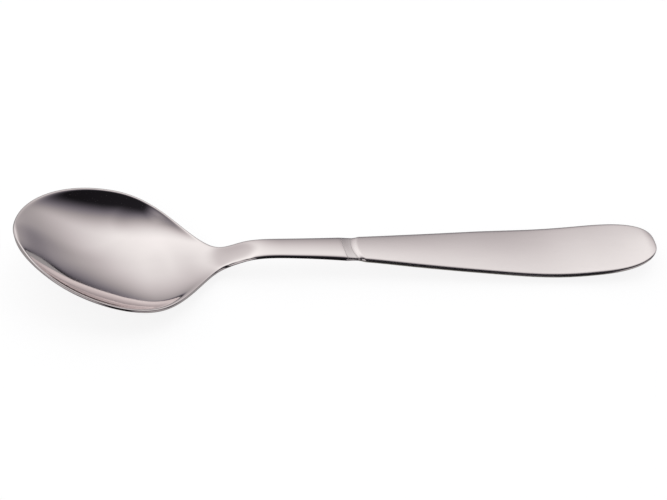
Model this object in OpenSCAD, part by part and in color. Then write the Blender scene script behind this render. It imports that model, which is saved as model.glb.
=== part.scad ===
// Coffee spoon with a hollow handle, in millimetres.
// X runs from the bowl's tip to the handle's end, Y across, Z up from the table.
// The bowl, its neck and the tang are one forging. The tang passes through a collar and is bedded
// in the filler between two pressed half shells, which a seam of braze foil joins all round their edge.

/* [Overall] */
// Length from the tip of the bowl to the end of the handle
overall_length = 135; // [125:1:150]

/* [Bowl] */
// Length the bowl's outline would have without the neck
bowl_length = 49.4; // [48:0.2:51]
// Width across the rim
bowl_width = 30.2; // [26:0.2:33]
// Distance from the tip to the widest place
bowl_widest = 20.6; // [19:0.2:23]
// Fullness of the tip end of the outline, 2 is an ellipse
tip_fullness = 1.83; // [1.6:0.01:2.3]
// Fullness of the neck end of the outline
heel_fullness = 2.55; // [2:0.05:3]
// How far the neck end of the outline is drawn in
heel_taper = 3.2; // [2.6:0.05:3.6]
// Depth of the hollow below the rim
bowl_depth = 5.47; // [4.4:0.01:5.47]
// Distance from the tip to the deepest place
deepest_at = 19; // [17:0.2:22]
// Distance from the tip to the hollow's end at the heel
hollow_end = 44; // [42:0.5:45]
// Thickness of the bowl's metal
bowl_sheet = 1.1; // [0.8:0.05:1.4]

/* [Neck] */
// Width of the neck at its narrowest
neck_width = 4.8; // [4:0.1:5.4]
// Distance from the bowl's tip to the narrowest place
neck_at = 50.5; // [50:0.1:55]
// Tightness of the corner between bowl and neck, larger is tighter
neck_corner = 3.1; // [2:0.1:4]
// Thickness of the neck at its narrowest
neck_thick = 1.9; // [1.7:0.1:2.4]
// Distance from the bowl's tip to the shoulder that butts on the collar
shoulder_at = 66.4; // [65:0.2:68]

/* [Tang] */
// Length of the tang beyond the shoulder
tang_length = 34; // [20:1:44]
// Width of the tang at the shoulder
tang_width = 3.2; // [2.6:0.1:3.4]
// Thickness of the tang
tang_thick = 1; // [0.8:0.05:1.1]

/* [Collar] */
// Length of the collar on the centre line
collar_length = 1.9; // [1.4:0.1:2.6]
// Depth of the shallow valley across the collar, deepest at the handle's mouth
valley_depth = 0.2; // [0.1:0.02:0.24]

/* [Handle] */
// Width of the handle at its widest
handle_width = 12.8; // [10:0.02:15]
// Distance from the handle's end back to its widest place
end_length = 15.4; // [12:0.2:20]
// Fullness of the rounded end
end_fullness = 2.82; // [2.2:0.02:3.4]
// Thickness of the handle at its mouth
mouth_thick = 2.4; // [2.4:0.1:3]
// Thickness of the handle at its widest place
handle_thick = 2.5; // [2.2:0.1:3]
// Sheet thickness of the two half shells
shell_sheet = 0.45; // [0.35:0.05:0.5]
// How far the handle's front is drawn forward on the centre line
nose_bulge = 1.2; // [0.6:0.1:1.5]
// Thickness of the braze foil between the shells
seam_thick = 0.2; // [0.1:0.05:0.3]

/* [Side profile] */
// Height of the middle of the metal at the bowl's tip
tip_rise = 10.64; // [9:0.01:13]
// Height of the middle of the metal at the front of the bowl
front_rise = 8.61; // [8:0.01:10]
// Height of the middle of the metal at the middle of the bowl
rim_rise = 6.28; // [6.2:0.01:7.6]
// Height of the middle of the metal at the back of the bowl
back_rise = 4.37; // [4.3:0.01:6]
// Height of the middle of the metal at the heel
heel_rise = 2.27; // [2.2:0.01:4]
// Height of the middle of the metal at the throat, where the neck leaves the bowl
throat_rise = 4.39; // [4:0.01:6]
// Height of the middle of the metal at the crest of the neck
neck_rise = 4.66; // [4.4:0.01:5.4]
// Height of the middle of the metal at the handle's mouth
mouth_rise = 3.57; // [3.4:0.01:4.2]
// Height of the middle of the metal half way down the handle
handle_rise = 2.06; // [2:0.01:2.5]
// Height of the middle of the metal where the handle rests
rest_rise = 1.34; // [1.3:0.01:1.8]
// Height of the middle of the metal at the handle's end
end_rise = 4.26; // [2.4:0.02:5]

/* [Hidden] */

steel = [0.80, 0.79, 0.78];
satin_steel = [0.74, 0.72, 0.71];
braze = [0.70, 0.67, 0.60];
cement = [0.55, 0.53, 0.50];

// Clearances between separate pieces
fit_gap = 0.1;
bed_gap = 0.03;

// Places along the length where the height of the metal's middle is given, as shares of the length
rises = [tip_rise, front_rise, rim_rise, back_rise, heel_rise, throat_rise,
         neck_rise, mouth_rise, handle_rise, rest_rise, end_rise];
shares = [0, 0.0667, 0.1481, 0.2296, 0.3037, 0.3519, 0.4, 0.5333, 0.7037, 0.8519, 1];
places = overall_length * shares;

mouth_at = shoulder_at + collar_length;
handle_widest = overall_length - end_length;
end_taper = 2.36;
wall_power = 2.2;
tip_wall = 2.2;
tip_run = 10.5;
rim_power = 9;
rim_turn = 0.12;
rim_slope = 3.6;
side_slope = 2;
least_power = 4;
tang_power = 4;
rim_share = 0.91;
side_share = 0.38;
crown = 0.54;
rest_flat = 0.45;
flat_run = 32;
tang_end_width = 2.4;
front_power = 1.43;
blend_run = 12;
heel_from = hollow_end - 8;
heel_to = hollow_end + 10;
crown_from = hollow_end - 10;
crown_to = hollow_end + 4;
rim_round = 0.9;
valley_front = 2.4;
valley_back = 1.4;
shoulder_bulge = 0.4;
bulge_run = 14;
end_round = 2.2;
end_thin = 0.32;
cavity_stop = 0.8;
filler_stop = 3;
place_spread = 1.6;

// Counts of points round a section, over half a section and along each stretch
round_points = 52;
half_points = 26;
bowl_steps = 42;
neck_steps = 22;
tang_steps = 10;
handle_steps = 34;
end_steps = 14;
filler_steps = 18;

function limit(v, low, high) = max(low, min(high, v));
function ease(u) = let (t = limit(u, 0, 1)) t * t * (3 - 2 * t);
function mix(a, b, u) = a + (b - a) * u;
function quarter(u) = let (t = limit(u, 0, 1)) sqrt(1 - (1 - t) * (1 - t));
function soft_sum(a, b, p) = pow(pow(a, p) + pow(b, p), 1 / p);
function power_arc(u, p, r) = pow(max(1 - pow(limit(u, 0, 1), p), 0), r);

// Height of the metal's middle, a smooth curve through the given rises
last_place = len(places) - 1;
function chord(i) = (rises[i + 1] - rises[i]) / (places[i + 1] - places[i]);
function inner_slope(i) = (rises[i + 1] - rises[i - 1]) / (places[i + 1] - places[i - 1]);
function slope(i) =
    i == 0 ? 2 * chord(0) - inner_slope(1) :
    i == last_place ? 2 * chord(i - 1) - inner_slope(i - 1) : inner_slope(i);
function place_before(s) = max([for (i = [0 : last_place - 1]) if (i == 0 || places[i] <= s) i]);
function middle_rise(s) =
    let (i = place_before(s))
    let (d = places[i + 1] - places[i])
    let (t = (s - places[i]) / d)
    let (ta = t * t)
    let (tb = ta * t)
    (2 * tb - 3 * ta + 1) * rises[i] + (tb - 2 * ta + t) * d * slope(i)
    + (3 * ta - 2 * tb) * rises[i + 1] + (tb - ta) * d * slope(i + 1);

// Half width of the outline
function tip_half(s) = power_arc((bowl_widest - s) / bowl_widest, tip_fullness, 1 / tip_fullness);
function heel_half(s) =
    power_arc((s - bowl_widest) / (bowl_length - bowl_widest), heel_fullness, heel_taper);
function bowl_half(s) = bowl_width / 2 * (s < bowl_widest ? tip_half(s) : heel_half(s));
function strip_full(s) =
    mix(neck_width, handle_width, ease((s - neck_at) / (handle_widest - neck_at))) / 2;
function strip_half(s) =
    strip_full(s) * power_arc((s - handle_widest) / end_length, end_fullness, 1 / end_taper);
function strip_share(s) = ease((s - bowl_widest) / blend_run);
function half_width(s) =
    s <= bowl_widest ? bowl_half(s) : soft_sum(bowl_half(s), strip_half(s) * strip_share(s), neck_corner);

// Depth of the hollow below the edge line
back_power = front_power * (hollow_end - deepest_at) / deepest_at;
function hollow(s) =
    let (front = pow(s / deepest_at, front_power))
    let (back = pow(max(hollow_end - s, 0) / (hollow_end - deepest_at), back_power))
    bowl_depth * front * back;

// Share of the hollow's depth that the wall has climbed at q, steeper at the rim and towards the tip
function wall(s, q) =
    let (power = wall_power + tip_wall * exp(-pow(s / tip_run, 2)))
    mix(pow(abs(q), power), pow(abs(q), rim_power), rim_turn);

// Half thickness of the forging and of the handle
function forging_half(s) =
    mix(bowl_sheet, neck_thick, ease((s - heel_from) / (heel_to - heel_from))) / 2 * quarter(s / rim_round)
    + (mouth_thick - neck_thick) / 2 * ease((s - heel_to) / (mouth_at - heel_to));
function end_run(s) = ease((s - handle_widest) / end_length);
function handle_half(s) =
    mix(mouth_thick, handle_thick, ease((s - mouth_at) / (handle_widest - mouth_at))) / 2
    * (1 - end_thin * end_run(s)) * quarter((overall_length - s) / end_round);

// From the bowl to the neck: share of the thickness above the edge line, share of that which is a crown
// over the whole width, and slope of the bevel that is the rest
function beyond_bowl(s) = ease((s - crown_from) / (crown_to - crown_from));
function top_share(s) = mix(rim_share, side_share, beyond_bowl(s));
function crown_share(s) = crown * beyond_bowl(s);
function bevel_slope(s) = mix(rim_slope, side_slope, beyond_bowl(s));
function bevel_power(s, w, top) =
    max(least_power, bevel_slope(s) * w / max((1 - crown_share(s)) * top, 0.001));
function edge_line(s, thick) = middle_rise(s) + thick * (0.5 - top_share(s));

// Heights over the edge line at q, which runs from -1 at the near edge to 1 at the far edge
function crowned(q, k, p) = k * (1 - q * q) + (1 - k) * (1 - pow(abs(q), p));
function rounded(q, p) = sqrt(max(1 - pow(abs(q), p), 0));
function bow(s, bulge, q) = s - overall_length / 2 + bulge * q * q;
// The underside is rounded, with a flat stretch across the handle where it rests
function flat_share(s) = rest_flat * ease((s - mouth_at) / flat_run) * (1 - end_run(s));
function below(s, q) = 1 - pow(max(abs(q) - flat_share(s), 0) / (1 - flat_share(s)), 2);

// Shallow valley across the joint, in the neck, the collar and the handle's mouth
function valley(s) =
    let (u = s < mouth_at ? (mouth_at - s) / valley_front : (s - mouth_at) / valley_back)
    valley_depth * pow(1 - pow(limit(u, 0, 1), 2), 2);

// Closed section, from the far edge over the top and back underneath
function section(s, w, edge, top, under, power, sag, bulge) =
    [for (j = [0 : round_points - 1])
        let (q = cos(360 * j / round_points))
        let (hollowed = edge - sag * (1 - wall(s, q)))
        let (over = 2 * j <= round_points)
        [bow(s, bulge, q), w * q,
         hollowed + (over ? top * crowned(q, crown_share(s), power) : -under * below(s, q))]];

// Triangles between neighbouring loops of n points, and over the two ends
function band(i, j, n) =
    let (k = (j + 1) % n)
    [[i * n + j, (i + 1) * n + j, (i + 1) * n + k], [i * n + j, (i + 1) * n + k, i * n + k]];
function bands(count, n) = [for (i = [0 : count - 2], j = [0 : n - 1], f = band(i, j, n)) f];

// Solid through loops of points, closed by a point at each end
module loft(loops, first, last) {
    n = len(loops[0]);
    count = len(loops);
    points = concat([for (loop = loops, p = loop) p], [first, last]);
    front = [for (j = [0 : n - 1]) [count * n, j, (j + 1) % n]];
    back = [for (j = [0 : n - 1]) [count * n + 1, (count - 1) * n + (j + 1) % n, (count - 1) * n + j]];
    polyhedron(points = points, faces = concat(bands(count, n), front, back), convexity = 8);
}

// Ring through loops of points, the last loop joined to the first
module ring(loops) {
    n = len(loops[0]);
    count = len(loops);
    faces = [for (f = bands(count + 1, n)) [for (k = f) k % (count * n)]];
    polyhedron(points = [for (loop = loops, p = loop) p], faces = faces, convexity = 8);
}

// Bowl, neck and tang
bowl_places = [for (i = [1 : bowl_steps]) hollow_end * (1 - cos(90 * i / bowl_steps))];
neck_places = [for (i = [1 : neck_steps]) mix(hollow_end, shoulder_at, i / neck_steps)];
function shoulder_bow(s) = shoulder_bulge * ease((s - heel_to) / (shoulder_at - heel_to));
function skin_loop(s, sag, bulge) =
    let (thick = 2 * forging_half(s))
    let (drop = valley(s))
    let (w = half_width(s) - drop)
    let (top = top_share(s) * thick - drop)
    let (under = (1 - top_share(s)) * thick - drop)
    section(s, w, edge_line(s, thick), top, under, bevel_power(s, w, top), sag, bulge);
function forging_loop(s) = skin_loop(s, hollow(s), shoulder_bow(s));

// Grow is the clearance added round the tang, and bow_half the half width over which bulge is reached
function tang_loop(s, grow, bulge, bow_half) =
    let (u = limit((s - shoulder_at) / tang_length, 0, 1))
    let (w = mix(tang_width, tang_end_width, u) / 2 + grow)
    let (h = tang_thick / 2 + grow)
    [for (j = [0 : round_points - 1])
        let (q = cos(360 * j / round_points))
        let (up = 2 * j <= round_points ? 1 : -1)
        [bow(s, bulge * pow(w / bow_half, 2), q), w * q, middle_rise(s) + up * h * rounded(q, tang_power)]];
function on_axis(s) = [s - overall_length / 2, 0, middle_rise(s)];

module bowl() {
    tang_end = shoulder_at + tang_length;
    shoulder_half = half_width(shoulder_at);
    tang_places = [for (i = [0 : tang_steps]) mix(shoulder_at, tang_end, i / tang_steps)];
    tang_loops = [for (s = tang_places)
        tang_loop(s, 0, s == shoulder_at ? shoulder_bulge : 0, shoulder_half)];
    loops = concat([for (s = concat(bowl_places, neck_places)) forging_loop(s)], tang_loops);
    color(steel) loft(loops, on_axis(0), on_axis(tang_end));
}

// Ring between the shoulder and the handle's mouth
module collar() {
    front = shoulder_at + fit_gap;
    rear = mouth_at - fit_gap;
    front_half = half_width(shoulder_at);
    rear_half = half_width(mouth_at);
    grow = fit_gap;
    outer = [for (u = [0 : 0.25 : 1])
        let (s = mix(front, rear, u))
        skin_loop(s, 0, mix(shoulder_bulge, nose_bulge, u))];
    loops = concat([tang_loop(front, grow, shoulder_bulge, front_half)], outer,
                   [tang_loop(rear, grow, nose_bulge, rear_half)]);
    color(steel) ring(loops);
}

// Half shells of the handle
body_places = [for (i = [0 : handle_steps])
    mouth_at + (handle_widest - mouth_at) * pow(i / handle_steps, place_spread)];
end_places = [for (i = [1 : end_steps - 1]) handle_widest + end_length * sin(90 * i / end_steps)];
shell_places = concat(body_places, end_places);
shell_rows = len(shell_places) - 1;
cavity_end = overall_length - cavity_stop;
function cavity_place(s) = mix(mouth_at, cavity_end, (s - mouth_at) / (overall_length - mouth_at));
function nose_bow(s) = nose_bulge * (1 - ease((s - mouth_at) / bulge_run));
function thinned(v) = v - shell_sheet * min(1, v / (3 * shell_sheet));

// Height of a shell above or below the edge line, up is 1 for the upper shell and -1 for the lower
function shell_rise(s, up) = 2 * handle_half(s) * (up > 0 ? side_share : 1 - side_share);
function handle_edge(s) = edge_line(s, 2 * handle_half(s));
function handle_power(s) = bevel_power(s, half_width(s), shell_rise(s, 1));
function arc(s, w, edge, rise, power, bulge, up) =
    [for (j = [0 : half_points])
        let (q = cos(180 * j / half_points))
        let (share = up > 0 ? crowned(q, crown, power) : below(s, q))
        [bow(s, bulge, q), w * q, edge + up * (seam_thick / 2 + rise * share)]];
function outer_arc(s, up) =
    arc(s, half_width(s) - valley(s), handle_edge(s), shell_rise(s, up) - seam_thick / 2 - valley(s),
        handle_power(s), nose_bow(s), up);
function inner_half(s) = thinned(half_width(s));
function inner_rise(s, up) = thinned(shell_rise(s, up));
function inner_bow(s) = nose_bow(s) * pow(inner_half(s) / half_width(s), 2);
function inner_arc(s, up) =
    arc(cavity_place(s), inner_half(s), handle_edge(cavity_place(s)), inner_rise(s, up) - seam_thick / 2,
        handle_power(s), inner_bow(s), up);
function tip_point(s, up) = [s - overall_length / 2, 0, handle_edge(s) + up * seam_thick / 2];
function outer_tip(up) = tip_point(overall_length, up);
function inner_tip(up) = tip_point(cavity_end, up);

module half_shell(up) {
    k = half_points + 1;
    n = shell_rows;
    inner = k * (n + 1);
    a = 2 * inner;
    b = a + 1;
    points = concat([for (s = shell_places, p = outer_arc(s, up)) p],
                    [for (s = shell_places, p = inner_arc(s, up)) p],
                    [outer_tip(up), inner_tip(up)]);
    skin = [for (i = [0 : n - 1], j = [0 : k - 2])
        let (p = i * k + j)
        each [[p, p + k, p + k + 1], [p, p + k + 1, p + 1],
              [inner + p, inner + p + k + 1, inner + p + k],
              [inner + p, inner + p + 1, inner + p + k + 1]]];
    tips = [for (j = [0 : k - 2])
        let (p = n * k + j)
        each [[a, p + 1, p], [b, inner + p, inner + p + 1]]];
    mouth = [for (j = [0 : k - 2]) each [[inner + j, j, j + 1], [inner + j, j + 1, inner + j + 1]]];
    far_edge = [for (i = [0 : n - 1])
        let (p = i * k)
        each up > 0 ? [[p, inner + p, inner + p + k], [p, inner + p + k, p + k]]
                    : [[p, inner + p, p + k], [inner + p, inner + p + k, p + k]]];
    near_edge = [for (i = [0 : n - 1])
        let (p = i * k + k - 1)
        each up > 0 ? [[p, p + k, inner + p], [p + k, inner + p + k, inner + p]]
                    : [[p, p + k, inner + p + k], [p, inner + p + k, inner + p]]];
    far_row = n * k;
    near_row = n * k + k - 1;
    far_end = up > 0 ? [[far_row, inner + far_row, b], [far_row, b, a]]
                     : [[far_row, inner + far_row, a], [inner + far_row, b, a]];
    near_end = up > 0 ? [[near_row, a, inner + near_row], [a, b, inner + near_row]]
                      : [[near_row, a, b], [near_row, b, inner + near_row]];
    faces = concat(skin, tips, mouth, far_edge, near_edge, far_end, near_end);
    turned = [for (f = faces) [f[0], f[2], f[1]]];
    polyhedron(points = points, faces = up > 0 ? faces : turned, convexity = 8);
}

module upper_shell() {
    color(satin_steel) half_shell(1);
}

module lower_shell() {
    color(satin_steel) half_shell(-1);
}

// Braze foil all round the edge between the shells
function foil_loop(s, edge) =
    [outer_arc(s, -1)[edge], outer_arc(s, 1)[edge], inner_arc(s, 1)[edge], inner_arc(s, -1)[edge]];

module seam() {
    far_side = [for (s = shell_places) foil_loop(s, 0)];
    tip = [[outer_tip(-1), outer_tip(1), inner_tip(1), inner_tip(-1)]];
    near_side = [for (i = [0 : shell_rows]) foil_loop(shell_places[shell_rows - i], half_points)];
    loops = concat(far_side, tip, near_side);
    count = len(loops);
    last = 4 * (count - 1);
    ends = [[0, 1, 2], [0, 2, 3], [last + 3, last + 2, last + 1], [last + 3, last + 1, last]];
    points = [for (loop = loops, p = loop) p];
    color(braze) polyhedron(points = points, faces = concat(bands(count, 4), ends), convexity = 8);
}

// Cement that fills the handle and holds the tang
function filler_loop(s) =
    let (c = cavity_place(s))
    let (top = inner_rise(s, 1) - bed_gap)
    let (under = inner_rise(s, -1) - bed_gap)
    section(c, inner_half(s) - bed_gap, handle_edge(c), top, under, handle_power(s), 0, inner_bow(s));

module filler() {
    tang_end = shoulder_at + tang_length;
    filler_end = overall_length - filler_stop;
    mouth_half = half_width(mouth_at);
    hole = [for (i = [tang_steps : -1 : 0])
        let (s = mix(mouth_at, tang_end + bed_gap, i / tang_steps))
        tang_loop(s, bed_gap, i == 0 ? nose_bulge : 0, mouth_half)];
    skin = [for (i = [0 : filler_steps])
        filler_loop(mix(mouth_at, filler_end, sin(90 * i / filler_steps)))];
    floor = on_axis(tang_end + bed_gap);
    color(cement) loft(concat(hole, skin), floor, on_axis(cavity_place(filler_end)));
}

bowl();
collar();
upper_shell();
lower_shell();
seam();
filler();
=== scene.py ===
import bpy
import bmesh
import math
from functools import lru_cache
from mathutils import Matrix, Vector


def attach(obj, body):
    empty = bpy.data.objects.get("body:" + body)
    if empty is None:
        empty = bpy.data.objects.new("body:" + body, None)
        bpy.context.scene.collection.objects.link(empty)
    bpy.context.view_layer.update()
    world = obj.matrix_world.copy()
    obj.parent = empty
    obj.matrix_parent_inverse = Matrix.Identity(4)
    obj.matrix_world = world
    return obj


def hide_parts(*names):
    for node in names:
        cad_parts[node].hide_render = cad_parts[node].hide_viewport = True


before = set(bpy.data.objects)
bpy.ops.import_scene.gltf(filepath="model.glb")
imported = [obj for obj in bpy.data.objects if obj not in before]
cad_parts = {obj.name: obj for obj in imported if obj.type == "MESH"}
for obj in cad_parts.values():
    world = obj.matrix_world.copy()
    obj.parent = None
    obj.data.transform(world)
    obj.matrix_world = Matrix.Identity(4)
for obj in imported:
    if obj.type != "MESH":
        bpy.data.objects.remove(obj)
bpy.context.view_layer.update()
mm = 0.001
tiny = 1e-6
print("frame loaded:", sorted(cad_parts))


# sizes are in millimetres, measured along the spoon from the bowl's tip
edgeLine = {
    "length": 135,
    # heights above the table, and where along the length they are
    "rises": [10.64, 8.61, 6.28, 4.37, 2.27, 4.39, 4.66, 3.57, 2.06, 1.34, 4.26],
    "shares": [0, 0.0667, 0.1481, 0.2296, 0.3037, 0.3519, 0.4, 0.5333, 0.7037, 0.8519, 1],
    "evening": 1.8,  # the polished line is evened out over this much on either side
    "eveningSteps": 10,
}


def clamp(v):
    return max(0, min(1, v))


def ease(u):
    t = clamp(u)
    return t * t * (3 - 2 * t)


def blendTo(a, b, u):
    return a + (b - a) * u


def quarterArc(u):
    return math.sqrt(1 - (1 - clamp(u)) ** 2)


def powerArc(u, p, r):
    return max(1 - clamp(u) ** p, 0) ** r


def softSum(a, b, p):
    return (a ** p + b ** p) ** (1 / p)


def edgeHeight(s):
    rises = edgeLine["rises"]
    places = [edgeLine["length"] * share for share in edgeLine["shares"]]
    last = len(places) - 1

    def chord(i):
        return (rises[i + 1] - rises[i]) / (places[i + 1] - places[i])

    def slope(i):
        if i == 0:
            return 2 * chord(0) - slope(1)
        if i == last:
            return 2 * chord(last - 1) - slope(last - 1)
        return (rises[i + 1] - rises[i - 1]) / (places[i + 1] - places[i - 1])

    i = max([0] + [k for k in range(last) if places[k] <= s])
    d = places[i + 1] - places[i]
    t = (s - places[i]) / d
    return ((2 * t ** 3 - 3 * t ** 2 + 1) * rises[i] + (t ** 3 - 2 * t ** 2 + t) * d * slope(i)
            + (3 * t ** 2 - 2 * t ** 3) * rises[i + 1] + (t ** 3 - t ** 2) * d * slope(i + 1))


@lru_cache(None)
def evenHeight(s):
    steps = edgeLine["eveningSteps"]
    total = weightSum = 0
    for k in range(-steps, steps + 1):
        weight = 1 - (k / (steps + 0.5)) ** 2
        total += weight * edgeHeight(s + edgeLine["evening"] * k / steps)
        weightSum += weight
    return total / weightSum


sheetForm = {"weld": 2e-7, "sharp": 50}  # metres and degrees


# a sheet of rows by columns, wrapped round the piece: its seam and its poles are merged
def wrapSheet(name, rows, columns, place):
    bm = bmesh.new()
    bm.loops.layers.uv.new("wrap")
    bmesh.ops.create_grid(bm, x_segments=len(rows) - 1, y_segments=columns, size=0.5, calc_uvs=True)
    for vert in bm.verts:
        row = round((vert.co.x + 0.5) * (len(rows) - 1))
        vert.co = Vector(place(rows[row], vert.co.y + 0.5)) * mm
    bmesh.ops.remove_doubles(bm, verts=bm.verts, dist=sheetForm["weld"])
    bmesh.ops.recalc_face_normals(bm, faces=bm.faces)
    for face in bm.faces:
        face.smooth = True
    mesh = bpy.data.meshes.new(name)
    bm.to_mesh(mesh)
    bm.free()
    mesh.set_sharp_from_angle(angle=math.radians(sheetForm["sharp"]))
    piece = bpy.data.objects.new(name, mesh)
    bpy.context.scene.collection.objects.link(piece)
    print("made", name, len(mesh.vertices), "points")
    return piece


bowlForm = {
    "length": 49.4, "width": 30.2, "widest": 20.6,
    "tipFullness": 1.83, "heelFullness": 2.55, "heelTaper": 3.2,
    "depth": 5.47, "deepest": 19, "hollowEnd": 44, "frontPower": 1.43,
    "wallPower": 2.2, "tipWall": 2.2, "tipRun": 10.5, "rimPower": 9, "rimTurn": 0.12,
    "sheet": 1.1, "topShare": 0.91, "bevelSlope": 3.6, "rimRound": 0.9,
    "steps": 150, "around": 240,
}
neckForm = {
    "width": 4.8, "narrowest": 50.5, "corner": 3.1, "blendRun": 12, "thick": 1.9,
    "topShare": 0.38, "crown": 0.54, "crownFrom": 34, "crownTo": 48,
    "bevelSlope": 2, "leastPower": 4, "leastBevel": 0.001, "heelFrom": 36, "heelTo": 54,
    "shoulder": 66.4, "bulge": 0.4, "steps": 90,
}
tangForm = {"length": 34, "width": 3.2, "endWidth": 2.4, "thick": 1, "power": 4, "steps": 12}
collarForm = {
    "length": 1.9, "gap": 0.01, "steps": 16,
    "valley": 0.2, "valleyFront": 2.4, "valleyBack": 1.4,
}
handleForm = {
    "width": 12.8, "endLength": 15.4, "endFullness": 2.82, "endTaper": 2.36,
    "mouthThick": 2.4, "thick": 2.5, "sheet": 0.45, "thinRun": 3,
    "endRound": 2.2, "endThin": 0.32, "cavityStop": 0.8,
    "noseBulge": 1.2, "bulgeRun": 14, "restFlat": 0.45, "flatRun": 32,
    "steps": 130, "spread": 1.6, "endSteps": 40, "around": 120,
}
seamForm = {"thick": 0.2, "stand": 0.01, "inset": 0.25, "corners": 6}

mouthAt = neckForm["shoulder"] + collarForm["length"]
handleWidest = edgeLine["length"] - handleForm["endLength"]


def bowlHalf(s):
    f = bowlForm
    if s < f["widest"]:
        share = powerArc((f["widest"] - s) / f["widest"], f["tipFullness"], 1 / f["tipFullness"])
    else:
        share = powerArc((s - f["widest"]) / (f["length"] - f["widest"]), f["heelFullness"], f["heelTaper"])
    return f["width"] / 2 * share


def stripHalf(s):
    f = handleForm
    run = ease((s - neckForm["narrowest"]) / (handleWidest - neckForm["narrowest"]))
    full = blendTo(neckForm["width"], f["width"], run) / 2
    return full * powerArc((s - handleWidest) / f["endLength"], f["endFullness"], 1 / f["endTaper"])


@lru_cache(None)
def halfWidth(s):
    if s <= bowlForm["widest"]:
        return bowlHalf(s)
    share = ease((s - bowlForm["widest"]) / neckForm["blendRun"])
    return softSum(bowlHalf(s), stripHalf(s) * share, neckForm["corner"])


def hollowDepth(s):
    f = bowlForm
    backRun = f["hollowEnd"] - f["deepest"]
    backPower = f["frontPower"] * backRun / f["deepest"]
    front = (s / f["deepest"]) ** f["frontPower"]
    return f["depth"] * front * (max(f["hollowEnd"] - s, 0) / backRun) ** backPower


# share of the hollow's depth that the wall has climbed at q
# it is steepest at the rim, and more so towards the tip
def wallShare(s, q):
    f = bowlForm
    power = f["wallPower"] + f["tipWall"] * math.exp(-(s / f["tipRun"]) ** 2)
    return blendTo(abs(q) ** power, abs(q) ** f["rimPower"], f["rimTurn"])


def forgingHalf(s):
    f = neckForm
    heel = ease((s - f["heelFrom"]) / (f["heelTo"] - f["heelFrom"]))
    sheet = blendTo(bowlForm["sheet"], f["thick"], heel) / 2
    run = ease((s - f["heelTo"]) / (mouthAt - f["heelTo"]))
    swell = (handleForm["mouthThick"] - f["thick"]) / 2 * run
    return sheet * quarterArc(s / bowlForm["rimRound"]) + swell


def endRun(s):
    return ease((s - handleWidest) / handleForm["endLength"])


def handleHalf(s):
    f = handleForm
    run = ease((s - mouthAt) / (handleWidest - mouthAt))
    full = blendTo(f["mouthThick"], f["thick"], run) / 2 * (1 - f["endThin"] * endRun(s))
    return full * quarterArc((edgeLine["length"] - s) / f["endRound"])


# from the bowl to the neck these change: the share of the thickness above the edge line,
# the share of that which is a crown over the whole width, and the slope of the bevel that is the rest
def beyondBowl(s):
    return ease((s - neckForm["crownFrom"]) / (neckForm["crownTo"] - neckForm["crownFrom"]))


def topShare(s):
    return blendTo(bowlForm["topShare"], neckForm["topShare"], beyondBowl(s))


def bevelPower(s, w, top):
    slope = blendTo(bowlForm["bevelSlope"], neckForm["bevelSlope"], beyondBowl(s))
    bevel = (1 - neckForm["crown"] * beyondBowl(s)) * top
    return max(neckForm["leastPower"], slope * w / max(bevel, neckForm["leastBevel"]))


def edgeAt(s, thick):
    return evenHeight(s) + thick * (0.5 - topShare(s))


def overEdge(s, q, power):
    crown = neckForm["crown"] * beyondBowl(s)
    return crown * (1 - q * q) + (1 - crown) * (1 - abs(q) ** power)


def underEdge(s, q):
    flat = handleForm["restFlat"] * ease((s - mouthAt) / handleForm["flatRun"]) * (1 - endRun(s))
    return 1 - (max(abs(q) - flat, 0) / (1 - flat)) ** 2


# shallow valley across the joint, shared by the neck, the collar and the handle's mouth
def valleyDrop(s):
    f = collarForm
    u = clamp((mouthAt - s) / f["valleyFront"] if s < mouthAt else (s - mouthAt) / f["valleyBack"])
    return f["valley"] * (1 - u * u) ** 2


# one point of a closed section: turn goes from the far edge over the top and back underneath
def skinPoint(s, sag, bow, turn):
    q = math.cos(2 * math.pi * turn)
    drop = valleyDrop(s)
    thick = 2 * forgingHalf(s)
    w = halfWidth(s) - drop
    top = thick * topShare(s) - drop
    under = thick * (1 - topShare(s)) - drop
    if turn < 0.5:
        height = top * overEdge(s, q, bevelPower(s, w, top))
    else:
        height = -under * underEdge(s, q)
    z = edgeAt(s, thick) - sag * (1 - wallShare(s, q)) + height
    return s - edgeLine["length"] / 2 + bow * q * q, w * q, z


def tangPoint(s, grow, bow, bowHalf, turn):
    f = tangForm
    run = clamp((s - neckForm["shoulder"]) / f["length"])
    w = blendTo(f["width"], f["endWidth"], run) / 2 + grow
    q = math.cos(2 * math.pi * turn)
    rise = (f["thick"] / 2 + grow) * math.sqrt(max(1 - abs(q) ** f["power"], 0))
    return (s - edgeLine["length"] / 2 + bow * (w / bowHalf * q) ** 2, w * q,
            evenHeight(s) + (rise if turn < 0.5 else -rise))


# bowl, neck and tang, one forging
def makeBowl():
    shoulder = neckForm["shoulder"]
    tangEnd = shoulder + tangForm["length"]
    shoulderHalf = halfWidth(shoulder)
    rows = [("body", bowlForm["hollowEnd"] * (1 - math.cos(math.pi / 2 * i / bowlForm["steps"])))
            for i in range(bowlForm["steps"] + 1)]
    rows += [("body", blendTo(bowlForm["hollowEnd"], shoulder, i / neckForm["steps"]))
             for i in range(1, neckForm["steps"] + 1)]
    rows += [("tang", blendTo(shoulder, tangEnd, i / tangForm["steps"]))
             for i in range(tangForm["steps"] + 1)]
    rows += [("tip", tangEnd)]

    def place(row, turn):
        kind, s = row
        if kind == "tip":
            return s - edgeLine["length"] / 2, 0, evenHeight(s)
        if kind == "tang":
            return tangPoint(s, 0, neckForm["bulge"] if s == shoulder else 0, shoulderHalf, turn)
        run = (s - neckForm["heelTo"]) / (shoulder - neckForm["heelTo"])
        return skinPoint(s, hollowDepth(s), neckForm["bulge"] * ease(run), turn)

    return wrapSheet("spoonBowl", rows, bowlForm["around"], place)


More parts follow.
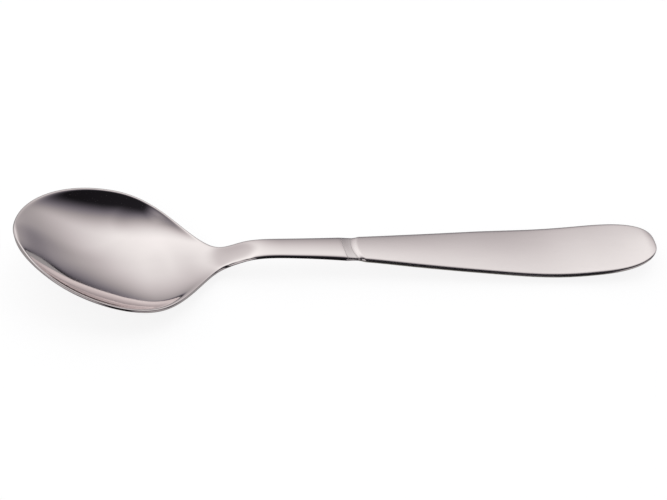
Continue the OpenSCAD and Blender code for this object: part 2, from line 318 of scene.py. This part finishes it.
# ring between the shoulder and the handle's mouth
def makeCollar():
    f = collarForm
    front, rear = neckForm["shoulder"] + f["gap"], mouthAt - f["gap"]
    frontHalf, rearHalf = halfWidth(neckForm["shoulder"]), halfWidth(mouthAt)
    outer = [("outer", k / f["steps"]) for k in range(f["steps"] + 1)]
    rows = [("inner", 0)] + outer + [("inner", 1), ("inner", 0)]

    def place(row, turn):
        kind, u = row
        s = blendTo(front, rear, u)
        bow = blendTo(neckForm["bulge"], handleForm["noseBulge"], u)
        if kind == "inner":
            return tangPoint(s, f["gap"], bow, blendTo(frontHalf, rearHalf, u), turn)
        return skinPoint(s, 0, bow, turn)

    return wrapSheet("collarRing", rows, bowlForm["around"], place)


shellRows = [mouthAt + (handleWidest - mouthAt) * (i / handleForm["steps"]) ** handleForm["spread"]
             for i in range(handleForm["steps"] + 1)]
shellRows += [handleWidest + handleForm["endLength"] * math.sin(math.pi / 2 * i / handleForm["endSteps"])
              for i in range(1, handleForm["endSteps"] + 1)]


def noseBow(s):
    return handleForm["noseBulge"] * (1 - ease((s - mouthAt) / handleForm["bulgeRun"]))


def thinned(v):
    sheet = handleForm["sheet"]
    return v - sheet * min(1, v / (handleForm["thinRun"] * sheet))


# height of a shell over or under the edge line
def shellRise(s, up):
    share = neckForm["topShare"] if up > 0 else 1 - neckForm["topShare"]
    return 2 * handleHalf(s) * share


def shellPower(s):
    return bevelPower(s, halfWidth(s), shellRise(s, 1))


# a point on a half shell's outside, q from -1 at the near edge to 1 at the far edge
def outsidePoint(s, q, up):
    drop = valleyDrop(s)
    w = max(halfWidth(s) - drop, 0)
    rise = max(shellRise(s, up) - seamForm["thick"] / 2 - drop, 0)
    share = overEdge(s, q, shellPower(s)) if up > 0 else underEdge(s, q)
    return (s - edgeLine["length"] / 2 + noseBow(s) * q * q, w * q,
            edgeAt(s, 2 * handleHalf(s)) + up * (seamForm["thick"] / 2 + rise * share))


def insidePoint(s, q, up):
    full = halfWidth(s)
    w = thinned(full)
    rise = max(thinned(shellRise(s, up)) - seamForm["thick"] / 2, 0)
    cavityRun = edgeLine["length"] - handleForm["cavityStop"] - mouthAt
    sIn = mouthAt + cavityRun * (s - mouthAt) / (edgeLine["length"] - mouthAt)
    share = overEdge(sIn, q, shellPower(s)) if up > 0 else underEdge(sIn, q)
    bow = noseBow(s) * (w / full) ** 2 if full > tiny else 0
    return (sIn - edgeLine["length"] / 2 + bow * q * q, w * q,
            edgeAt(sIn, 2 * handleHalf(sIn)) + up * (seamForm["thick"] / 2 + rise * share))


# half of the handle: a section runs over the outside and back along the inside
def makeShell(name, up):
    rows = [("lip", mouthAt)] + [("wall", s) for s in shellRows]

    def place(row, turn):
        kind, s = row
        outside = turn < 0.5 - tiny
        t = turn * 2 if outside else (1 - turn) * 2
        q = math.cos(math.pi * t) if tiny < t < 1 - tiny else (1 if t < 0.5 else -1)
        if kind == "lip":
            a, b = outsidePoint(s, q, up), insidePoint(s, q, up)
            return [(m + n) / 2 for m, n in zip(a, b)]
        if outside or turn > 1 - tiny:
            return outsidePoint(s, q, up)
        return insidePoint(s, q, up)

    return wrapSheet(name, rows, handleForm["around"] * 2 + 1, place)


# braze all round the edge between the shells
def makeSeam():
    f = seamForm
    sides = [(s, 1) for s in shellRows] + [(s, -1) for s in reversed(shellRows[:-1])]
    rows = [(s, q, "side") for s, q in sides]
    rows = [(*sides[0], "end")] + rows + [(*sides[-1], "end")]

    def place(row, turn):
        s, q, kind = row
        a, b = Vector(outsidePoint(s, q, -1)), Vector(outsidePoint(s, q, 1))
        c, d = Vector(insidePoint(s, q, 1)), Vector(insidePoint(s, q, -1))
        if kind == "end":
            return (a + b + c + d) / 4
        k = round(turn * f["corners"]) % f["corners"]
        out = (a + b - c - d).normalized() * f["stand"]
        return [a, a.lerp(b, f["inset"]) + out, b.lerp(a, f["inset"]) + out, b, c, d][k]

    return wrapSheet("seamBraze", rows, f["corners"], place)


# shader maths: a socket that can be used in Python expressions
class Value:
    def __init__(self, tree, socket=None):
        self.tree = tree
        self.socket = socket

    def node(self, kind, settings=None, inputs=None, output=0):
        made = self.tree.nodes.new(kind)
        for key, value in (settings or {}).items():
            setattr(made, key, value)
        for key, value in (inputs or {}).items():
            if isinstance(value, Value):
                self.tree.links.new(value.socket, made.inputs[key])
            else:
                made.inputs[key].default_value = value
        return Value(self.tree, made.outputs[output] if made.outputs else None)

    def maths(self, operation, *others):
        return self.node("ShaderNodeMath", {"operation": operation}, dict(enumerate(others)))

    def __add__(self, other):
        return self.maths("ADD", self, other)

    def __sub__(self, other):
        return self.maths("SUBTRACT", self, other)

    def __rsub__(self, other):
        return self.maths("SUBTRACT", other, self)

    def __mul__(self, other):
        return self.maths("MULTIPLY", self, other)

    def __truediv__(self, other):
        return self.maths("DIVIDE", self, other)

    def __rtruediv__(self, other):
        return self.maths("DIVIDE", other, self)

    __radd__ = __add__
    __rmul__ = __mul__

    def step(self, low, high):
        return self.node("ShaderNodeMapRange", {"interpolation_type": "SMOOTHSTEP"},
                         {"Value": self, "From Min": low, "From Max": high})

    def tint(self, low, high):
        return self.node("ShaderNodeMix", {"data_type": "RGBA"}, {0: self, 6: low, 7: high}, 2)


def newMaterial(name):
    material = bpy.data.materials.new(name)
    material.use_nodes = True
    tree = material.node_tree
    tree.nodes.clear()
    return material, Value(tree)


# noise on object coordinates, in metres, stretched by the three scales
def grainNoise(start, scales, detail=3, roughness=0.55):
    coords = start.node("ShaderNodeTexCoord", output="Object")
    mapped = start.node("ShaderNodeMapping", inputs={"Vector": coords, "Scale": scales})
    return start.node("ShaderNodeTexNoise", inputs={"Vector": mapped, "Scale": 1.0, "Detail": detail,
                                                    "Roughness": roughness})


def bumpNormal(start, height, depth, strength=1.0):
    return start.node("ShaderNodeBump", inputs={"Strength": strength, "Distance": depth, "Height": height})


# one of the two directions of a piece's own wrap: 0 along it, 1 round it
def wrapCoord(start, output):
    uv = start.node("ShaderNodeUVMap", {"uv_map": "wrap"})
    return start.node("ShaderNodeSeparateXYZ", inputs={"Vector": uv}, output=output)


def finishMetal(start, inputs):
    shader = start.node("ShaderNodeBsdfPrincipled", inputs={"Metallic": 1.0, **inputs})
    start.node("ShaderNodeOutputMaterial", inputs={"Surface": shader})


polishLook = {
    "colour": (0.87, 0.795, 0.79, 1), "shade": (0.83, 0.755, 0.75, 1), "roughness": 0.04,
    "haze": (90, 140, 140), "hazeRange": (0.35, 0.75), "hazeTint": 0.5, "hazeRough": 0.04,
    "hairlines": (260, 5200, 5200), "hairRange": (0.62, 0.8), "hairTint": 0.5, "hairRough": 0.04,
    "ripple": (150, 190, 190), "rippleDepth": 0.000006,
}


def polishedSteel():
    material, start = newMaterial("polishedSteel")
    f = polishLook
    haze = grainNoise(start, f["haze"]).step(*f["hazeRange"])
    hairlines = grainNoise(start, f["hairlines"], detail=2).step(*f["hairRange"])
    ripple = grainNoise(start, f["ripple"], detail=1)
    tone = haze * f["hazeTint"] + hairlines * f["hairTint"]
    finishMetal(start, {
        "Base Color": tone.tint(f["colour"], f["shade"]),
        "Roughness": haze * f["hazeRough"] + hairlines * f["hairRough"] + f["roughness"],
        "Normal": bumpNormal(start, ripple, f["rippleDepth"]),
    })
    return material


satinLook = {
    "colour": (0.92, 0.845, 0.84, 1), "shade": (0.86, 0.79, 0.785, 1), "roughness": 0.13,
    "grain": (160, 7000, 7000), "grainDepth": 0.0000012, "grainTint": 0.4, "grainRough": 0.08,
    "clouds": (60, 160, 160), "cloudRange": (0.3, 0.7), "cloudTint": 0.4, "cloudRough": 0.05,
    "marks": (420, 2600, 2600), "markRange": (0.66, 0.8), "markTint": 0.2, "markRough": 0.05,
    "farEdge": (0.01, 0.07), "nearEdge": (0.43, 0.49), "edgePolish": 0.08,
}


def satinSteel():
    material, start = newMaterial("satinSteel")
    f = satinLook
    grain = grainNoise(start, f["grain"])
    clouds = grainNoise(start, f["clouds"])
    marks = grainNoise(start, f["marks"], detail=2).step(*f["markRange"])
    across = wrapCoord(start, 1)
    worn = 1 - across.step(*f["farEdge"]) * (1 - across.step(*f["nearEdge"]))
    tone = clouds.step(*f["cloudRange"]) * f["cloudTint"] + grain * f["grainTint"] + marks * f["markTint"]
    rough = grain * f["grainRough"] + clouds * f["cloudRough"] + marks * f["markRough"]
    finishMetal(start, {
        "Base Color": tone.tint(f["colour"], f["shade"]),
        "Roughness": rough - worn * f["edgePolish"] + f["roughness"],
        "Normal": bumpNormal(start, grain, f["grainDepth"]),
    })
    return material


# collar steel, with painted shade at both ends of the collar where it meets the neck and the handle
collarLook = {
    "colour": (0.81, 0.75, 0.745, 1), "shadeColour": (0.72, 0.665, 0.66, 1), "roughness": 0.16,
    "frontGroove": (0.07, 0.2), "rearGroove": (0.72, 0.86), "shadeRough": 0.3,
    "specks": (2400, 2400, 2400), "speckShade": (0.5, 0.6), "speckRough": 0.06,
}


def collarSteel():
    material, start = newMaterial("collarSteel")
    f = collarLook
    along = wrapCoord(start, 0)
    # painted shade: a darker, rougher colour towards both ends of the collar, in the crevices by the neck
    # and the handle, broken up by specks
    grooveShadeMask = 1 - along.step(*f["frontGroove"]) * (1 - along.step(*f["rearGroove"]))
    specks = grainNoise(start, f["specks"])
    least, more = f["speckShade"]
    grooveShade = grooveShadeMask * (specks * more + least)
    finishMetal(start, {
        "Base Color": grooveShade.tint(f["colour"], f["shadeColour"]),
        "Roughness": grooveShade * f["shadeRough"] + specks * f["speckRough"] + f["roughness"],
    })
    return material


brazeLook = {
    "colour": (0.70, 0.67, 0.60, 1), "shade": (0.52, 0.49, 0.43, 1), "roughness": 0.24,
    "pits": (900, 2400, 2400), "pitRange": (0.4, 0.75), "pitRough": 0.2,
}


def brazeMetal():
    material, start = newMaterial("brazeMetal")
    f = brazeLook
    pits = grainNoise(start, f["pits"]).step(*f["pitRange"])
    finishMetal(start, {
        "Base Color": pits.tint(f["colour"], f["shade"]),
        "Roughness": pits * f["pitRough"] + f["roughness"],
    })
    return material


cementLook = {
    "colour": (0.58, 0.56, 0.53, 1), "shade": (0.46, 0.44, 0.41, 1), "roughness": 0.85,
    "grit": (2500, 2500, 2500), "gritRange": (0.35, 0.7), "gritDepth": 0.00005, "gritStrength": 0.4,
}


def handleCement():
    material, start = newMaterial("handleCement")
    f = cementLook
    grit = grainNoise(start, f["grit"], detail=4)
    shader = start.node("ShaderNodeBsdfPrincipled", inputs={
        "Base Color": grit.step(*f["gritRange"]).tint(f["colour"], f["shade"]),
        "Roughness": f["roughness"],
        "Normal": bumpNormal(start, grit, f["gritDepth"], f["gritStrength"]),
    })
    start.node("ShaderNodeOutputMaterial", inputs={"Surface": shader})
    return material


satin = satinSteel()
pieces = [
    (makeBowl(), polishedSteel(), "bowl", "polished_steel"),
    (makeCollar(), collarSteel(), "collar", "collar_steel"),
    (makeShell("handleTop", 1), satin, "upper_shell", "satin_steel"),
    (makeShell("handleUnderside", -1), satin, "lower_shell", "satin_steel"),
    (makeSeam(), brazeMetal(), "seam", "braze"),
]
for piece, material, node, slot in pieces:
    piece.data.materials.append(material)
    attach(piece, "root")
    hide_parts(node)
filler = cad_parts["filler"]
filler.data.materials.clear()
filler.data.materials.append(handleCement())
print("pieces dressed")


# studio: a pale table inside a light tent, whose pattern the steel mirrors
tableForm = {
    "radius": 2.4, "segments": 96, "drop": 0.00002,
    "colour": (0.3, 0.3, 0.304, 1), "glow": 0.842, "mirrored": 0.2,
}


def makeTable():
    f = tableForm
    bm = bmesh.new()
    bmesh.ops.create_circle(bm, cap_ends=True, segments=f["segments"], radius=f["radius"])
    bmesh.ops.recalc_face_normals(bm, faces=bm.faces)
    mesh = bpy.data.meshes.new("tableTop")
    bm.to_mesh(mesh)
    bm.free()
    table = bpy.data.objects.new("tableTop", mesh)
    table.location.z = -f["drop"]
    bpy.context.scene.collection.objects.link(table)
    material, start = newMaterial("paleTable")
    camera = start.node("ShaderNodeLightPath", output="Is Camera Ray")
    glossy = start.node("ShaderNodeLightPath", output="Is Glossy Ray")
    through = start.node("ShaderNodeLightPath", output="Is Transmission Ray")
    matt = start.node("ShaderNodeBsdfDiffuse", inputs={"Color": f["colour"]})
    seen = camera + through + glossy * f["mirrored"]
    glow = start.node("ShaderNodeEmission", inputs={"Strength": seen * f["glow"]})
    both = start.node("ShaderNodeAddShader", inputs={0: matt, 1: glow})
    start.node("ShaderNodeOutputMaterial", inputs={"Surface": both})
    mesh.materials.append(material)


# the tent: bright overhead, dim behind the spoon with a dark skirt at the foot and a grey card to the
# left, and a dark flag along the near side; turns are degrees, pairs are where a soft edge starts and ends
tentForm = {
    "radius": 2.5, "segments": (64, 32), "poleGuard": 0.0001,
    "overhead": 1.065, "lean": 0.22, "leanTurn": -32, "sides": 0.31,
    "lowTint": (1.0, 0.95, 1.14, 1), "midTint": (1.0, 0.97, 0.98, 1), "highTint": (1.0, 1.02, 1.01, 1),
    "midLevel": (0.0, 0.45), "highLevel": (0.5, 1.0),
    "dimTurn": 57, "dimEnd": (0.926, 1.009),
    "skirtTurn": 75, "skirtEnd": (0.78, 0.88), "skirtTop": (0.0, 0.1),
    "flagTurn": -88.1, "flagFoot": (-0.239, 0.365), "flagEnd": (-0.527, -0.239), "flagShade": 0.985,
    "flagTop": (0.9, 0.985), "flagReach": 0.06, "reachEnd": (-0.07, 0.0), "cornerEnd": (-0.23, -0.05),
    "sideFlag": (-0.2, 0.1), "sideEnd": (-0.75, -0.6),
    "rightGap": (0.4, 0.52), "rightGapNear": (0.38, 0.52), "rightGapTop": (0.36, 0.5),
    "leftGap": (0.0, 0.15), "leftGapFoot": (0.08, 0.2), "leftGapTop": (0.6, 0.75),
    "cardTurn": 118, "cardTilt": 47, "cardEdge": (0.88, 0.998), "cardShade": 0.3,
}


def makeTent():
    f = tentForm
    bm = bmesh.new()
    around, down = f["segments"]
    bmesh.ops.create_uvsphere(bm, u_segments=around, v_segments=down, radius=f["radius"])
    mesh = bpy.data.meshes.new("lightTent")
    bm.to_mesh(mesh)
    bm.free()
    tent = bpy.data.objects.new("lightTent", mesh)
    tent.visible_camera = False
    bpy.context.scene.collection.objects.link(tent)
    material, start = newMaterial("tentCloth")
    coords = start.node("ShaderNodeTexCoord", output="Object")
    aim = start.node("ShaderNodeVectorMath", {"operation": "NORMALIZE"}, {0: coords})
    x, y, z = [start.node("ShaderNodeSeparateXYZ", inputs={"Vector": aim}, output=k) for k in range(3)]
    up = z.maths("MAXIMUM", z, 0.0)
    flat = x.maths("SQRT", x * x + y * y + f["poleGuard"])

    def towards(degrees):
        turn = math.radians(degrees)
        return x * math.cos(turn) + y * math.sin(turn)

    dim = (towards(f["dimTurn"]) / flat).step(*f["dimEnd"])
    skirt = (towards(f["skirtTurn"]) / flat).step(*f["skirtEnd"]) * (1 - z.step(*f["skirtTop"]))
    sides = (1 - up) * (1 - dim) * (1 - skirt) * f["sides"]
    level = up * (f["overhead"] - towards(f["leanTurn"]) * f["lean"]) + sides
    # the flag reaches further near the top, where its left corner is cut off
    near = towards(f["flagTurn"])
    high = z.step(*f["flagTop"])
    reach = high * x.step(*f["reachEnd"]) * f["flagReach"]
    flag = (near + reach).step(*f["flagFoot"]) * x.step(*f["flagEnd"])
    flag = flag * (1 - high * (1 - x.step(*f["cornerEnd"])))
    flag = x.maths("MAXIMUM", flag, near.step(*f["sideFlag"]) * (1 - x.step(*f["sideEnd"])))
    # gaps in the flag at either side, so that the spoon isn't black from behind
    rightGap = x.step(*f["rightGap"]) * near.step(*f["rightGapNear"]) * (1 - z.step(*f["rightGapTop"]))
    leftGap = (1 - x.step(*f["leftGap"])) * z.step(*f["leftGapFoot"]) * (1 - z.step(*f["leftGapTop"]))
    level = level * (1 - flag * (1 - rightGap) * (1 - leftGap) * f["flagShade"])
    # a grey card behind and to the left, which the throat mirrors
    turn, tilt = f["cardTurn"], math.radians(f["cardTilt"])
    card = (towards(turn) * math.cos(tilt) + z * math.sin(tilt)).step(*f["cardEdge"])
    level = level * (1 - card * f["cardShade"])
    tint = level.step(*f["midLevel"]).tint(f["lowTint"], f["midTint"])
    tint = level.step(*f["highLevel"]).tint(tint, f["highTint"])
    colour = start.node("ShaderNodeVectorMath", {"operation": "SCALE"}, {0: tint, "Scale": level})
    glow = start.node("ShaderNodeEmission", inputs={"Color": colour, "Strength": 1.0})
    start.node("ShaderNodeOutputMaterial", inputs={"Surface": glow})
    material.cycles.emission_sampling = "NONE"
    mesh.materials.append(material)


def makeBackdrop():
    world = bpy.data.worlds.new("whiteBackdrop")
    bpy.context.scene.world = world
    world.use_nodes = True
    world.node_tree.nodes.clear()
    start = Value(world.node_tree)
    white = start.node("ShaderNodeBackground", inputs={"Color": (1, 1, 1, 1), "Strength": 1.0})
    start.node("ShaderNodeOutputWorld", inputs={"Surface": white})


cameraForm = {
    "turn": -32, "tilt": 46, "roll": 22.775,  # degrees
    "distance": 0.5, "nearest": 0.01,  # metres
    "focal": 2559.3, "centre": (7.774, -13.254), "width": 667,  # pixels
    "sensor": 36,  # millimetres
}


def makeCamera():
    f = cameraForm
    turn, tilt, roll = [math.radians(f[k]) for k in ("turn", "tilt", "roll")]
    back = Vector((math.sin(turn) * math.cos(tilt), -math.cos(turn) * math.cos(tilt), math.sin(tilt)))
    side = Vector((math.cos(turn), math.sin(turn), 0))
    top = back.cross(side)
    right = side * math.cos(roll) + top * math.sin(roll)
    up = top * math.cos(roll) - side * math.sin(roll)
    place = back * f["distance"]
    back = (back * f["focal"] + right * f["centre"][0] + up * f["centre"][1]).normalized()
    right = (right - back * right.dot(back)).normalized()
    up = back.cross(right)
    data = bpy.data.cameras.new("photoCamera")
    data.sensor_width = f["sensor"]
    data.lens = f["focal"] * f["sensor"] / f["width"]
    data.clip_start = f["nearest"]
    camera = bpy.data.objects.new("photoCamera", data)
    turnMatrix = Matrix((right, up, back)).transposed().to_4x4()
    camera.matrix_world = Matrix.Translation(place) @ turnMatrix
    bpy.context.scene.collection.objects.link(camera)
    bpy.context.scene.camera = camera


makeTable()
makeTent()
makeBackdrop()
makeCamera()
bpy.context.scene.view_settings.view_transform = "Standard"
print("studio ready")
